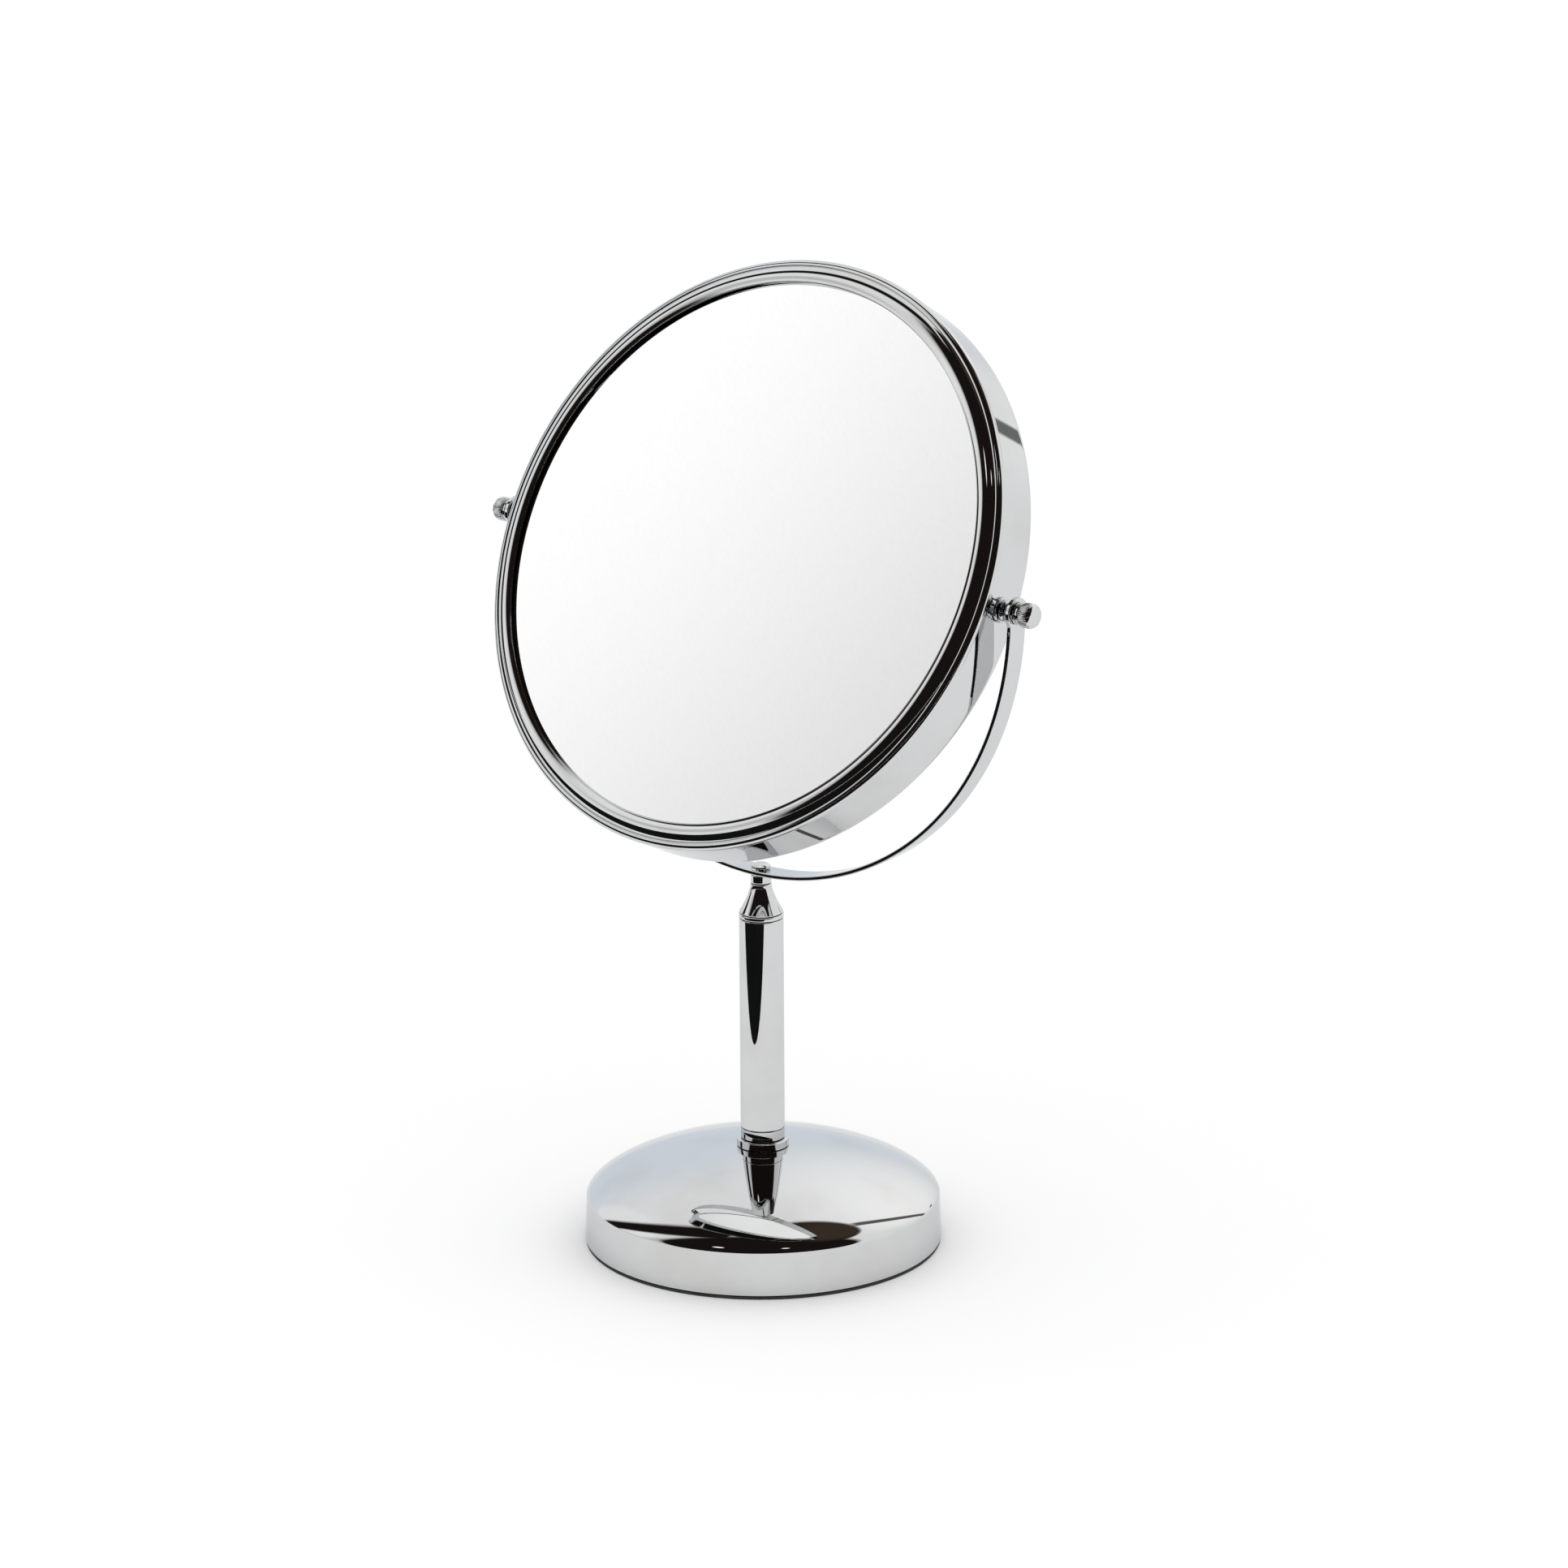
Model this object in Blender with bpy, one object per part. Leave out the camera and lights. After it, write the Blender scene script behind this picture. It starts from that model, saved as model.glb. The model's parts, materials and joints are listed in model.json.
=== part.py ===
"""Extendable shaving mirror: a round tilting mirror in a U-shaped yoke, on a sliding column and a domed base.

Metres, +Z up. The base rests on z = 0 with its centre at the origin. The tilt axis runs along X and the
mirror faces -Y, leaning back. Every piece is one closed solid, and neighbours are SEAT apart.
"""

import math

import bmesh
import bpy

MM = 0.001

# Clearances
SEAT = 0.3 * MM  # between two pieces that touch on the real object
BORE = 0.3 * MM  # between a screw or a stud and its hole, on the radius
EDGE = 0.4 * MM  # corner taken off small turned pieces

# Base
BASE_RADIUS = 75.0 * MM  # at the foot
RIM_INSET = 0.7 * MM  # the side wall leans in by this much at its top
WALL_HEIGHT = 20.0 * MM
DOME_RISE = 21.2 * MM
DOME_SEAT_RADIUS = 11.6 * MM  # flat on top of the dome, under the collar
COVER_THICKNESS = 1.4 * MM
PAD_THICKNESS = 1.2 * MM
PAD_INSET = 0.3 * MM
PLATE_THICKNESS = 9.0 * MM
PLATE_LIFT = 4.0 * MM  # underside of the weight plate above the pad
PLATE_INSET = 1.0 * MM  # from the inside of the cover
TIE_WASHER_RADIUS = 8.5 * MM
TIE_WASHER_THICKNESS = 1.6 * MM
NUT_FLAT = 5.0 * MM  # centre of the nut to one of its flats
NUT_HEIGHT = 5.0 * MM
ROD_SHOW = 1.5 * MM  # rod below the weight plate
ROD_SPARE = 4.0 * MM  # rod above the spigot that it is screwed into

# Column
COLLAR_RADIUS = 10.9 * MM
COLLAR_HEIGHT = 3.3 * MM
FERRULE_RADIUS = 9.2 * MM
FERRULE_HEIGHT = 4.2 * MM
SPIGOT_LENGTH = 10.0 * MM
TUBE_RADIUS = 9.3 * MM
TUBE_WALL = 0.8 * MM
TUBE_LENGTH = 91.8 * MM
GUIDE_HEIGHT = 1.8 * MM
GUIDE_SLEEVE = 9.0 * MM
GUIDE_WALL = 1.0 * MM
GUIDE_CROWN = 0.1 * MM  # how far the guide ring bulges beyond the tube
INNER_WALL = 0.8 * MM
SLIDE_RING_HEIGHT = 8.0 * MM
SLIDE_LIP = 0.5 * MM  # from the slide ring up to the sleeve, with the column right out
FOOT_GAP = 9.8 * MM  # from the spigot up to the inner tube, with the column in
CONE_HEIGHT = 12.5 * MM
CONE_TOP_RADIUS = 4.5 * MM
CONE_SPIGOT = 14.0 * MM
CONE_HOLLOW = 1.42  # power of the cone's hollow side
NECK_RADIUS = 4.3 * MM
NECK_HEIGHT = 3.7 * MM
ROD_RADIUS = 3.0 * MM  # tie rod that holds the base and the column together
SCREW_RADIUS = 2.0 * MM  # screw that the yoke turns on
SCREW_HEAD_RADIUS = 4.1 * MM
SCREW_HEAD_HEIGHT = 1.9 * MM
SCREW_SEAT = 0.6 * MM  # head above the strip at the middle, whose inner face curves up towards the sides

# Mirror head, measured along its own axis from the tilt axis
GLASS_RADIUS = 118.0 * MM
GLASS_THICKNESS = 2.8 * MM
GLASS_FACE = 12.6 * MM  # front of the glass ahead of the tilt axis
GLASS_LAP = 3.0 * MM  # how far the bezel's lip covers the glass
BEZEL_HEIGHT = 2.7 * MM  # top of the crown above the glass
BEZEL_CROWN = 6.4 * MM  # radius of the wide crown's curve
CROWN_INSET = 2.7 * MM  # top of the crown, outwards from the edge of the lip
BEZEL_BAND = 2.45 * MM  # radius of the outer band's curve
BAND_START = -12.0  # degrees
BEZEL_OVERHANG = 1.0 * MM  # outer band beyond the drum
SKIRT_LENGTH = 3.0 * MM  # bezel inside the drum
SKIRT_WIDTH = 5.1 * MM  # bezel between the glass's pocket and the drum
SHELL_THICKNESS = 1.0 * MM
SHELL_BACK = 12.8 * MM  # rear face behind the tilt axis
SHELL_FRONT = 10.0 * MM
SHELL_CORNER = 2.2 * MM
BACKING_THICKNESS = 3.0 * MM
BACKING_INSET = 1.0 * MM
CORE_WALL = 3.6 * MM
STUD_SHY = 0.4 * MM  # inner end of a stud, short of the core ring's inner face
REAR_GLASS_THICKNESS = 2.0 * MM
REAR_GLASS_SAG = 7.0 * MM  # how far the magnifying glass dips at its centre
TILT = math.radians(28.5)

# Trunnions, from the drum outwards
BOSS_RADIUS = 5.2 * MM
BOSS_LENGTH = 1.3 * MM
SPACER_RADIUS = 4.5 * MM
SPACER_LENGTH = 2.3 * MM
WASHER_RADIUS = 4.7 * MM
WASHER_THICKNESS = 0.8 * MM
STUD_RADIUS = 2.0 * MM
KNOB_RADIUS = 5.1 * MM
KNOB_LENGTH = 8.0 * MM
KNOB_WALL = 2.2 * MM  # solid end of the knob beyond its threaded bore

# Yoke
YOKE_THICKNESS = 1.9 * MM
YOKE_WIDTH = 9.8 * MM
EYE_RADIUS = 6.4 * MM  # rounded end of the yoke around the trunnion
EYE_TIP = 1.0 * MM  # half the width of the strip at the very tip of the eye
YOKE_EDGE = 0.35 * MM  # corner taken off the strip

# How finely the round pieces are cut
FINE = 56
MEDIUM = 28
COARSE = 16
HEXAGON_STEPS = 18

# Heights that follow from the sizes above
COVER_FOOT = PAD_THICKNESS + SEAT
DOME_TOP = WALL_HEIGHT + DOME_RISE
COLLAR_FOOT = DOME_TOP + SEAT
FERRULE_FOOT = COLLAR_FOOT + COLLAR_HEIGHT + SEAT
TUBE_FOOT = FERRULE_FOOT + FERRULE_HEIGHT + SEAT
TUBE_TOP = TUBE_FOOT + TUBE_LENGTH
GUIDE_FOOT = TUBE_TOP + SEAT
CONE_FOOT = GUIDE_FOOT + GUIDE_HEIGHT + SEAT
NECK_FOOT = CONE_FOOT + CONE_HEIGHT + SEAT
YOKE_FOOT = NECK_FOOT + NECK_HEIGHT + SEAT
PLATE_FOOT = PAD_THICKNESS + PLATE_LIFT
PLATE_TOP = PLATE_FOOT + PLATE_THICKNESS
SLEEVE_FOOT = TUBE_TOP - GUIDE_SLEEVE
INNER_FOOT = TUBE_FOOT + SPIGOT_LENGTH + FOOT_GAP
TRAVEL = SLEEVE_FOOT - SLIDE_RING_HEIGHT - INNER_FOOT  # how far the column pulls out
SKIRT_BACK = SHELL_FRONT - SKIRT_LENGTH

# Radii that follow from the sizes above
TUBE_BORE = TUBE_RADIUS - TUBE_WALL
INNER_RADIUS = TUBE_BORE - SEAT - GUIDE_WALL - SEAT
INNER_BORE = INNER_RADIUS - INNER_WALL
GLASS_POCKET = GLASS_RADIUS + SEAT
SHELL_BORE = GLASS_POCKET + SKIRT_WIDTH + SEAT
SHELL_RADIUS = SHELL_BORE + SHELL_THICKNESS
BOSS_FOOT = SHELL_RADIUS + SEAT
SPACER_FOOT = BOSS_FOOT + BOSS_LENGTH + SEAT
SECOND_SPACER_FOOT = SPACER_FOOT + SPACER_LENGTH + SEAT
YOKE_INNER_RADIUS = SECOND_SPACER_FOOT + SPACER_LENGTH + SEAT
YOKE_RADIUS = YOKE_INNER_RADIUS + YOKE_THICKNESS
WASHER_FOOT = YOKE_RADIUS + SEAT
KNOB_FOOT = WASHER_FOOT + WASHER_THICKNESS + SEAT
AXIS_HEIGHT = YOKE_FOOT + YOKE_RADIUS


def clear_scene():
    for item in list(bpy.data.objects):
        bpy.data.objects.remove(item, do_unlink=True)


def make_material(name, colour, metallic, roughness):
    material = bpy.data.materials.new(name)
    material.use_nodes = True
    shader = material.node_tree.nodes["Principled BSDF"]
    shader.inputs["Base Color"].default_value = (*colour, 1.0)
    shader.inputs["Metallic"].default_value = metallic
    shader.inputs["Roughness"].default_value = roughness
    material.diffuse_color = (*colour, 1.0)
    return material


def add_object(name, mesh, material, parent=None):
    item = bpy.data.objects.new(name, mesh)
    item.data.materials.append(material)
    bpy.context.scene.collection.objects.link(item)
    item.parent = parent
    return item


def add_faces(shape, loop_a, loop_b):
    """Joins two loops of points. A loop of one point is a tip on the axis."""
    steps = max(len(loop_a), len(loop_b))
    for i in range(steps):
        j = (i + 1) % steps
        corners = [loop_a[i % len(loop_a)], loop_a[j % len(loop_a)]]
        corners += [loop_b[j % len(loop_b)], loop_b[i % len(loop_b)]]
        corners = list(dict.fromkeys(corners))
        if len(corners) > 2:
            shape.faces.new(corners)


def finish_mesh(name, shape, sharp_degrees):
    bmesh.ops.recalc_face_normals(shape, faces=shape.faces)
    mesh = bpy.data.meshes.new(name)
    shape.to_mesh(mesh)
    shape.free()
    mesh.shade_smooth()
    mesh.set_sharp_from_angle(angle=math.radians(sharp_degrees))
    return mesh


def turned_mesh(name, outline, steps, sharp_degrees=35.0):
    """A solid of revolution about Z. The outline is a closed run of (radius, height) points, and a third
    entry may give a function of the angle that scales the radius."""
    shape = bmesh.new()
    loops = []
    for radius, height, *form in outline:
        if radius == 0.0:
            loops.append([shape.verts.new((0.0, 0.0, height))])
            continue
        loop = []
        for i in range(steps):
            angle = 2.0 * math.pi * i / steps
            reach = radius * (form[0](angle) if form else 1.0)
            loop.append(shape.verts.new((reach * math.cos(angle), reach * math.sin(angle), height)))
        loops.append(loop)
    for loop_a, loop_b in zip(loops, loops[1:] + loops[:1]):
        add_faces(shape, loop_a, loop_b)
    return finish_mesh(name, shape, sharp_degrees)


def turned(name, outline, steps, material, parent=None, sharp_degrees=35.0):
    return add_object(name, turned_mesh(name, outline, steps, sharp_degrees), material, parent)


def arc(centre_r, centre_z, radius, start_degrees, end_degrees, steps):
    """Points on an arc of an outline. 0 degrees points outwards and 90 degrees points up."""
    points = []
    for i in range(steps + 1):
        angle = math.radians(start_degrees + (end_degrees - start_degrees) * i / steps)
        points.append((centre_r + radius * math.cos(angle), centre_z + radius * math.sin(angle)))
    return points


def ring(inner, outer, foot, top, edge=0.0):
    """Outline of a plain ring, or of a disc if inner is 0, with its outer corners cut back by edge."""
    if edge == 0.0:
        return [(inner, foot), (outer, foot), (outer, top), (inner, top)]
    side = [(outer - edge, foot), (outer, foot + edge), (outer, top - edge), (outer - edge, top)]
    return [(inner, foot)] + side + [(inner, top)]


def disc(radius, foot, top):
    """Outline of a plain solid disc or rod."""
    return [(0.0, foot), (radius, foot), (radius, top), (0.0, top)]


def cut(item, cutter, name):
    change = item.modifiers.new(name, "BOOLEAN")
    change.operation = "DIFFERENCE"
    change.solver = "EXACT"
    change.object = cutter


def make_cutter(name, radius, start, end, material, parent=None):
    cutter = turned(name, disc(radius, start, end), COARSE, material, parent)
    cutter.hide_render = True
    cutter.display_type = "WIRE"
    return cutter


# Base


def dome_points(rim_radius, foot, shares):
    """Points on the dome at these shares of the rim's radius. It is nearly level in the middle."""
    seat = DOME_SEAT_RADIUS / rim_radius
    points = []
    for share in shares:
        fall = max(share**1.9 - seat**1.9, 0.0) / (1.0 - seat**1.9)
        points.append((share * rim_radius, foot + DOME_RISE * (1.0 - fall) ** 0.68))
    return points


def make_base_cover(chrome):
    rim = BASE_RADIUS - RIM_INSET
    inner_rim = rim - COVER_THICKNESS
    shares = (0.995, 0.975, 0.93, 0.85, 0.74, 0.6, 0.45, 0.3)
    hole = ROD_RADIUS + BORE
    outside = dome_points(rim, WALL_HEIGHT, shares)
    inner_foot = WALL_HEIGHT - COVER_THICKNESS
    inside = dome_points(inner_rim, inner_foot, shares[1::2])
    outline = [(BASE_RADIUS - COVER_THICKNESS, COVER_FOOT), (BASE_RADIUS - EDGE, COVER_FOOT)]
    outline += [(BASE_RADIUS, COVER_FOOT + EDGE), (rim, WALL_HEIGHT)]
    outline += outside
    outline += [(DOME_SEAT_RADIUS, DOME_TOP), (hole, DOME_TOP), (hole, DOME_TOP - COVER_THICKNESS)]
    outline += [(DOME_SEAT_RADIUS, DOME_TOP - COVER_THICKNESS)]
    outline += list(reversed(inside))
    outline += [(inner_rim, inner_foot)]
    return turned("base_cover", outline, FINE, chrome, sharp_degrees=32.0)


def make_base_parts(chrome, iron, rubber):
    make_base_cover(chrome)
    turned("base_pad", disc(BASE_RADIUS - PAD_INSET, 0.0, PAD_THICKNESS), FINE, rubber)
    plate_radius = BASE_RADIUS - RIM_INSET - COVER_THICKNESS - PLATE_INSET
    hole = ROD_RADIUS + BORE
    turned("base_weight", ring(hole, plate_radius, PLATE_FOOT, PLATE_TOP, EDGE), FINE, iron)


def make_tie_rod(steel):
    """Threaded rod up the middle, with the washer and nut that pull the base and the column together."""
    washer_foot = PLATE_TOP + SEAT
    washer_top = washer_foot + TIE_WASHER_THICKNESS
    nut_foot = washer_top + SEAT
    nut_top = nut_foot + NUT_HEIGHT
    hole = ROD_RADIUS + BORE
    turned("tie_washer", ring(hole, TIE_WASHER_RADIUS, washer_foot, washer_top), COARSE, steel)

    def hexagon(angle):
        turn = (angle + math.pi / 6.0) % (math.pi / 3.0) - math.pi / 6.0
        return 1.0 / math.cos(turn)

    outline = [(hole, nut_foot), (NUT_FLAT, nut_foot, hexagon), (NUT_FLAT, nut_top, hexagon), (hole, nut_top)]
    turned("tie_nut", outline, HEXAGON_STEPS, steel, sharp_degrees=20.0)
    rod_foot = PLATE_FOOT - ROD_SHOW
    rod_top = TUBE_FOOT + SPIGOT_LENGTH + ROD_SPARE
    turned("tie_rod", ring(0.0, ROD_RADIUS, rod_foot, rod_top, EDGE), COARSE, steel)


# Column


def make_collar(chrome):
    top = COLLAR_FOOT + COLLAR_HEIGHT
    hole = ROD_RADIUS + BORE
    outline = [(hole, COLLAR_FOOT), (COLLAR_RADIUS - EDGE, COLLAR_FOOT), (COLLAR_RADIUS, COLLAR_FOOT + EDGE)]
    outline += arc(COLLAR_RADIUS - 2.0 * EDGE, top - 2.0 * EDGE, 2.0 * EDGE, 0.0, 90.0, 2)
    outline += [(hole, top)]
    turned("collar", outline, MEDIUM, chrome)


def make_ferrule(chrome):
    """Foot of the outer tube: a short drum below the tube, and a spigot up inside it."""
    hole = ROD_RADIUS + BORE
    spigot = TUBE_BORE - SEAT
    drum_top = FERRULE_FOOT + FERRULE_HEIGHT
    spigot_top = TUBE_FOOT + SPIGOT_LENGTH
    outline = [(hole, FERRULE_FOOT), (FERRULE_RADIUS, FERRULE_FOOT), (FERRULE_RADIUS, drum_top)]
    outline += [(spigot, drum_top), (spigot, spigot_top), (hole, spigot_top)]
    turned("foot_ferrule", outline, MEDIUM, chrome)


def make_tubes(chrome, plastic):
    turned("outer_tube", ring(TUBE_BORE, TUBE_RADIUS, TUBE_FOOT, TUBE_TOP), MEDIUM, chrome)
    turned("inner_tube", ring(INNER_BORE, INNER_RADIUS, INNER_FOOT, CONE_FOOT - SEAT), MEDIUM, chrome)
    ring_inner = INNER_RADIUS + SEAT
    ring_outer = TUBE_BORE - SEAT
    ring_top = SLEEVE_FOOT - TRAVEL - SLIDE_LIP
    ring_foot = ring_top - SLIDE_RING_HEIGHT
    turned("slide_ring", ring(ring_inner, ring_outer, ring_foot, ring_top), MEDIUM, plastic)


def make_guide_ring(chrome):
    """Ring on top of the outer tube, with a sleeve inside it that the inner tube slides in."""
    top = GUIDE_FOOT + GUIDE_HEIGHT
    bore = INNER_RADIUS + SEAT
    sleeve = TUBE_BORE - SEAT
    middle = 0.5 * (GUIDE_FOOT + top)
    outline = [(bore, SLEEVE_FOOT), (sleeve, SLEEVE_FOOT), (sleeve, GUIDE_FOOT)]
    outline += [(TUBE_RADIUS - EDGE, GUIDE_FOOT), (TUBE_RADIUS, GUIDE_FOOT + EDGE)]
    outline += [(TUBE_RADIUS + GUIDE_CROWN, middle), (TUBE_RADIUS, top - EDGE), (TUBE_RADIUS - EDGE, top)]
    outline += [(bore, top)]
    turned("guide_ring", outline, MEDIUM, chrome)


def make_upper_cone(chrome):
    """Hollow-sided cone that caps the inner tube and takes the yoke's screw."""
    hole = SCREW_RADIUS + BORE
    spigot = INNER_BORE - SEAT
    foot_radius = TUBE_RADIUS - 0.5 * EDGE
    top = CONE_FOOT + CONE_HEIGHT
    slope_foot, slope_top = CONE_FOOT + EDGE, top - 2.5 * EDGE
    outline = [(hole, CONE_FOOT - CONE_SPIGOT), (spigot, CONE_FOOT - CONE_SPIGOT), (spigot, CONE_FOOT)]
    outline += [(foot_radius - EDGE, CONE_FOOT), (foot_radius, slope_foot)]
    steps = 7
    for i in range(1, steps + 1):
        share = i / steps
        radius = CONE_TOP_RADIUS + (foot_radius - CONE_TOP_RADIUS) * (1.0 - share) ** CONE_HOLLOW
        outline.append((radius, slope_foot + share * (slope_top - slope_foot)))
    outline += [(CONE_TOP_RADIUS, top - EDGE), (CONE_TOP_RADIUS - EDGE, top), (hole, top)]
    turned("upper_cone", outline, MEDIUM, chrome)


def make_neck(chrome, steel):
    hole = SCREW_RADIUS + BORE
    top = NECK_FOOT + NECK_HEIGHT
    turned("neck_bush", ring(hole, NECK_RADIUS, NECK_FOOT, top, EDGE), COARSE, chrome)
    head_foot = YOKE_FOOT + YOKE_THICKNESS + SCREW_SEAT
    head_top = head_foot + SCREW_HEAD_HEIGHT
    tip = CONE_FOOT - 0.5 * CONE_SPIGOT
    outline = [(0.0, tip), (SCREW_RADIUS, tip), (SCREW_RADIUS, head_foot), (SCREW_HEAD_RADIUS, head_foot)]
    outline += [(SCREW_HEAD_RADIUS, head_foot + 0.4 * SCREW_HEAD_HEIGHT)]
    outline += [(SCREW_HEAD_RADIUS * 0.86, head_foot + 0.75 * SCREW_HEAD_HEIGHT)]
    outline += [(SCREW_HEAD_RADIUS * 0.5, head_foot + 0.95 * SCREW_HEAD_HEIGHT), (0.0, head_top)]
    turned("yoke_screw", outline, COARSE, steel, sharp_degrees=50.0)


# Yoke


def yoke_path():
    """Points down the middle of the strip's inner face, as (x, z, outward x, outward z, half width)."""
    points = []
    half_width = 0.5 * YOKE_WIDTH
    for share in (1.0, 0.93, 0.75, 0.5, 0.25):
        half = EYE_RADIUS * math.sqrt(1.0 - share**2)
        points.append((YOKE_INNER_RADIUS, share * EYE_RADIUS, 1.0, 0.0, max(half, EYE_TIP)))
    eye_angle = math.sqrt(EYE_RADIUS**2 - half_width**2) / YOKE_INNER_RADIUS
    eye_steps, steps = 5, 18
    angles = [eye_angle * i / eye_steps for i in range(eye_steps + 1)]
    angles += [eye_angle + (0.5 * math.pi - eye_angle) * i / steps for i in range(1, steps + 1)]
    for angle in angles:
        across = EYE_RADIUS**2 - (angle * YOKE_INNER_RADIUS) ** 2
        half = math.sqrt(max(across, half_width**2))
        out_x, out_z = math.cos(angle), -math.sin(angle)
        points.append((YOKE_INNER_RADIUS * out_x, YOKE_INNER_RADIUS * out_z, out_x, out_z, half))
    other_side = [(-x, z, -out_x, out_z, half) for x, z, out_x, out_z, half in reversed(points[:-1])]
    return points + other_side


def make_yoke(chrome, cross_cutter):
    """Flat strip bent to half a circle, with a round eye at each end and a screw hole at the bottom."""
    shape = bmesh.new()
    edge = YOKE_EDGE
    near, far = 0.0, YOKE_THICKNESS
    loops = []
    for x, z, out_x, out_z, half in yoke_path():
        section = [(near, -half + edge), (near + edge, -half), (far - edge, -half), (far, -half + edge)]
        section += [(far, half - edge), (far - edge, half), (near + edge, half), (near, half - edge)]
        loops.append([shape.verts.new((x + out * out_x, y, z + out * out_z)) for out, y in section])
    for loop_a, loop_b in zip(loops, loops[1:]):
        add_faces(shape, loop_a, loop_b)
    shape.faces.new(loops[0])
    shape.faces.new(loops[-1])
    yoke = add_object("yoke", finish_mesh("yoke", shape, 30.0), chrome)
    yoke.location = (0.0, 0.0, AXIS_HEIGHT)
    reach = 4.0 * YOKE_THICKNESS
    screw_hole = make_cutter("yoke_screw_cutter", SCREW_RADIUS + BORE, -reach, reach, chrome)
    screw_hole.location = (0.0, 0.0, YOKE_FOOT)
    cut(yoke, screw_hole, "screw_hole")
    cut(yoke, cross_cutter, "trunnion_holes")


# Mirror head. Its own Z axis points out of the glass.


def make_head_pivot():
    pivot = bpy.data.objects.new("head_pivot", None)
    bpy.context.scene.collection.objects.link(pivot)
    pivot.location = (0.0, 0.0, AXIS_HEIGHT)
    pivot.rotation_euler = (0.5 * math.pi - TILT, 0.0, 0.0)
    return pivot


def make_head_shell(chrome, pivot, cross_cutter):
    """Drum with a rounded rear corner and a narrow lip turned in behind the rear glass."""
    lip = GLASS_RADIUS - GLASS_LAP
    outline = [(lip, -SHELL_BACK)]
    outline += arc(SHELL_RADIUS - SHELL_CORNER, -SHELL_BACK + SHELL_CORNER, SHELL_CORNER, -90.0, 0.0, 4)
    outline += [(SHELL_RADIUS, SHELL_FRONT), (SHELL_BORE, SHELL_FRONT)]
    inner = SHELL_CORNER - SHELL_THICKNESS
    outline += arc(SHELL_BORE - inner, -SHELL_BACK + SHELL_CORNER, inner, 0.0, -90.0, 2)
    outline += [(lip, -SHELL_BACK + SHELL_THICKNESS)]
    shell = turned("head_shell", outline, FINE, chrome, pivot)
    cut(shell, cross_cutter, "stud_holes")


def make_front_bezel(chrome, pivot):
    """Pressed ring: an inner wall, a wide crown, a narrow outer band, and a skirt inside the drum."""
    lip = GLASS_RADIUS - GLASS_LAP
    lip_back = GLASS_FACE + SEAT
    crown_base = GLASS_FACE + BEZEL_HEIGHT - BEZEL_CROWN
    seat = SHELL_FRONT + SEAT
    band_centre = SHELL_RADIUS + BEZEL_OVERHANG - BEZEL_BAND
    band_base = seat - BEZEL_BAND * math.sin(math.radians(BAND_START))
    skirt = SHELL_BORE - SEAT
    outline = [(lip, lip_back), (GLASS_POCKET, lip_back), (GLASS_POCKET, SKIRT_BACK), (skirt, SKIRT_BACK)]
    outline += [(skirt, seat)] + arc(band_centre, band_base, BEZEL_BAND, BAND_START, 98.0, 6)
    outline += arc(lip + CROWN_INSET, crown_base, BEZEL_CROWN, 40.0, 110.0, 7)
    outline += [(lip, outline[-1][1] - EDGE)]
    turned("front_bezel", outline, FINE, chrome, pivot, sharp_degrees=55.0)


def make_glasses(mirror, board, plastic, pivot, cross_cutter):
    back = GLASS_FACE - GLASS_THICKNESS
    turned("front_glass", ring(0.0, GLASS_RADIUS, back, GLASS_FACE, EDGE), FINE, mirror, pivot)
    board_top = back - SEAT
    board_foot = board_top - BACKING_THICKNESS
    turned("front_backing", disc(GLASS_RADIUS - BACKING_INSET, board_foot, board_top), FINE, board, pivot)
    rear_face = -SHELL_BACK + SHELL_THICKNESS + SEAT
    outside, inside = [], []
    for share in (1.0, 0.7, 0.35):
        dip = REAR_GLASS_SAG * (1.0 - share**2)
        outside.append((GLASS_RADIUS * share, rear_face + dip))
        inside.append((GLASS_RADIUS * share, rear_face + dip + REAR_GLASS_THICKNESS))
    outside.append((0.0, rear_face + REAR_GLASS_SAG))
    inside.append((0.0, rear_face + REAR_GLASS_SAG + REAR_GLASS_THICKNESS))
    turned("rear_glass", list(reversed(outside)) + inside, FINE, mirror, pivot, sharp_degrees=40.0)
    core_outer = SHELL_BORE - SEAT
    core_top = SKIRT_BACK - SEAT
    core_foot = rear_face + REAR_GLASS_THICKNESS + SEAT
    outline = ring(core_outer - CORE_WALL, core_outer, core_foot, core_top)
    core = turned("core_ring", outline, FINE, plastic, pivot)
    cut(core, cross_cutter, "stud_holes")


# Trunnions


def knob_outline():
    """Thumb knob along Z: stepped ring, neck, knurled band, domed end, and a blind bore from the foot."""
    bore = STUD_RADIUS + BORE
    ring_radius = 0.92 * KNOB_RADIUS
    neck_radius = 0.82 * KNOB_RADIUS
    ring_end, neck_end = 0.14 * KNOB_LENGTH, 0.22 * KNOB_LENGTH
    band_end = 0.74 * KNOB_LENGTH

    def knurl(angle):
        return 1.0 if round(angle * MEDIUM / (2.0 * math.pi)) % 2 else 0.95

    outline = [(0.0, KNOB_LENGTH - KNOB_WALL), (bore, KNOB_LENGTH - KNOB_WALL), (bore, 0.0)]
    outline += [(ring_radius, 0.0), (ring_radius, ring_end), (neck_radius, ring_end), (neck_radius, neck_end)]
    outline += [(KNOB_RADIUS - EDGE, neck_end), (KNOB_RADIUS, neck_end + EDGE, knurl)]
    outline += [(KNOB_RADIUS, band_end - EDGE, knurl), (KNOB_RADIUS - EDGE, band_end)]
    dome = KNOB_LENGTH - band_end
    for degrees in (22.5, 45.0, 67.5):
        angle = math.radians(degrees)
        reach = (KNOB_RADIUS - EDGE) * math.cos(angle)
        outline.append((reach, band_end + dome * math.sin(angle)))
    return outline + [(0.0, KNOB_LENGTH)]


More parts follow.
